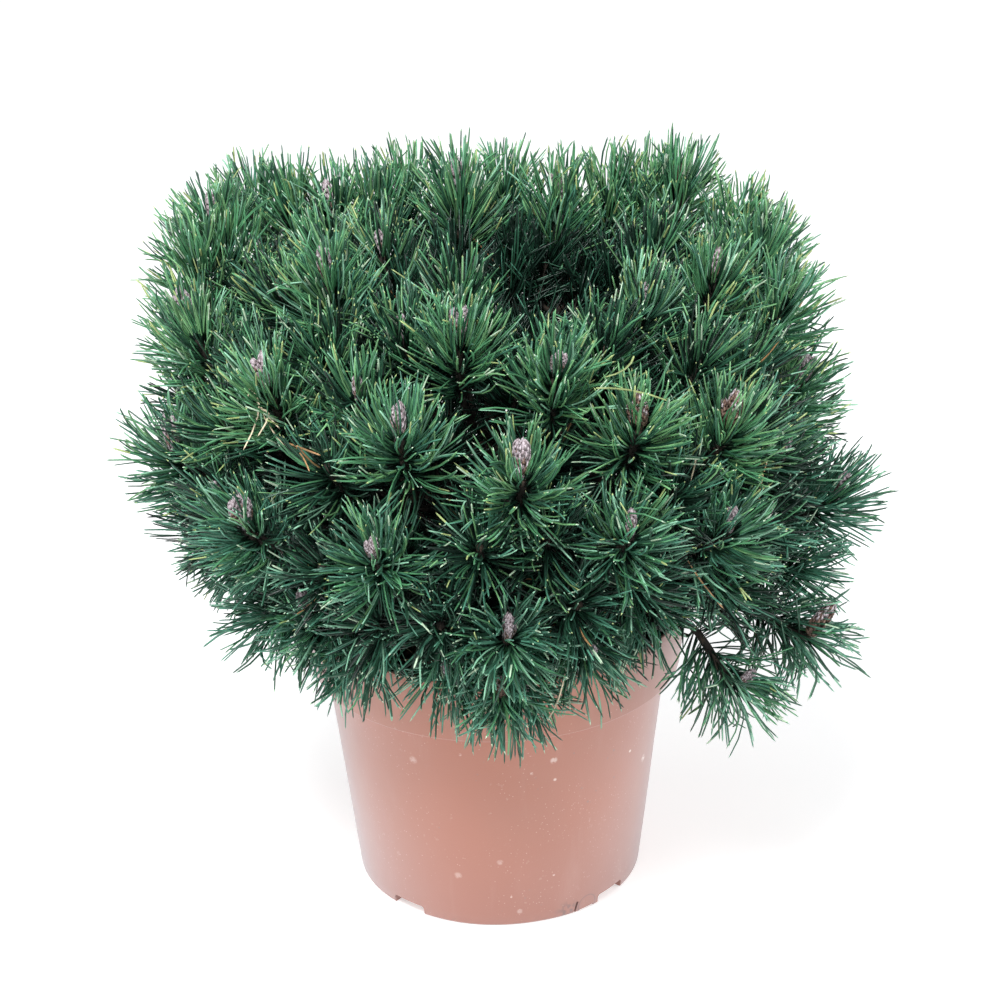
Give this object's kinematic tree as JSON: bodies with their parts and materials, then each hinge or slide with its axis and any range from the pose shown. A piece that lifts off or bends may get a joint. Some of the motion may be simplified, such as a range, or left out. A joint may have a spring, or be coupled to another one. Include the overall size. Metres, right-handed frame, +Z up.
{
  "type": "potted mugo pine",
  "caption": "Bushy mugo pine in a round tapered nursery pot: a short trunk and spreading boughs carry shoots of long needles in a broad dome over the rim.",
  "frame": {"origin": "middle of the pot's flat underside, where the plant stands", "axes": "+Z up along the pot's axis; -Y is the front, as pictured; +X to the right seen from the front"},
  "size_m": [0.5109, 0.4929, 0.504],
  "materials": {
    "terracotta_plastic": "matte",
    "bark_compost": "matte",
    "pine_bark": "matte",
    "pine_needles": "matte"
  },
  "bodies": {
    "root": {"bough_back": "pine_bark", "bough_back_high": "pine_bark", "bough_back_left": "pine_bark", "bough_back_low": "pine_bark", "bough_back_right": "pine_bark", "bough_front": "pine_bark", "bough_front_left": "pine_bark", "bough_front_low": "pine_bark", "bough_front_right": "pine_bark", "bough_left": "pine_bark", "bough_left_front": "pine_bark", "bough_left_high": "pine_bark", "bough_left_low": "pine_bark", "bough_right": "pine_bark", "bough_right_high": "pine_bark", "bough_right_low": "pine_bark", "bough_rim_front": "pine_bark", "bough_rim_right": "pine_bark", "foliage_back_high_inner": "pine_needles", "foliage_back_high_outer": "pine_needles", "foliage_back_left_lower": "pine_needles", "foliage_back_left_upper": "pine_needles", "foliage_back_low_left": "pine_needles", "foliage_back_low_right": "pine_needles", "foliage_back_lower": "pine_needles", "foliage_back_right_lower": "pine_needles", "foliage_back_right_upper": "pine_needles", "foliage_back_upper": "pine_needles", "foliage_centre": "pine_needles", "foliage_front_left_lower": "pine_needles", "foliage_front_left_upper": "pine_needles", "foliage_front_low_left": "pine_needles", "foliage_front_low_right": "pine_needles", "foliage_front_lower": "pine_needles", "foliage_front_right_lower": "pine_needles", "foliage_front_right_upper": "pine_needles", "foliage_front_upper": "pine_needles", "foliage_left_front_lower": "pine_needles", "foliage_left_front_upper": "pine_needles", "foliage_left_high_back": "pine_needles", "foliage_left_high_front": "pine_needles", "foliage_left_low_back": "pine_needles", "foliage_left_low_front": "pine_needles", "foliage_left_lower": "pine_needles", "foliage_left_upper": "pine_needles", "foliage_right_high_left": "pine_needles", "foliage_right_high_right": "pine_needles", "foliage_right_low_back": "pine_needles", "foliage_right_low_front": "pine_needles", "foliage_right_lower": "pine_needles", "foliage_right_upper": "pine_needles", "foliage_rim_front_left": "pine_needles", "foliage_rim_front_right": "pine_needles", "foliage_rim_right_back": "pine_needles", "foliage_rim_right_front": "pine_needles", "pot": "terracotta_plastic", "root_ball": "bark_compost", "trunk": "pine_bark"}
  },
  "joints": []
}
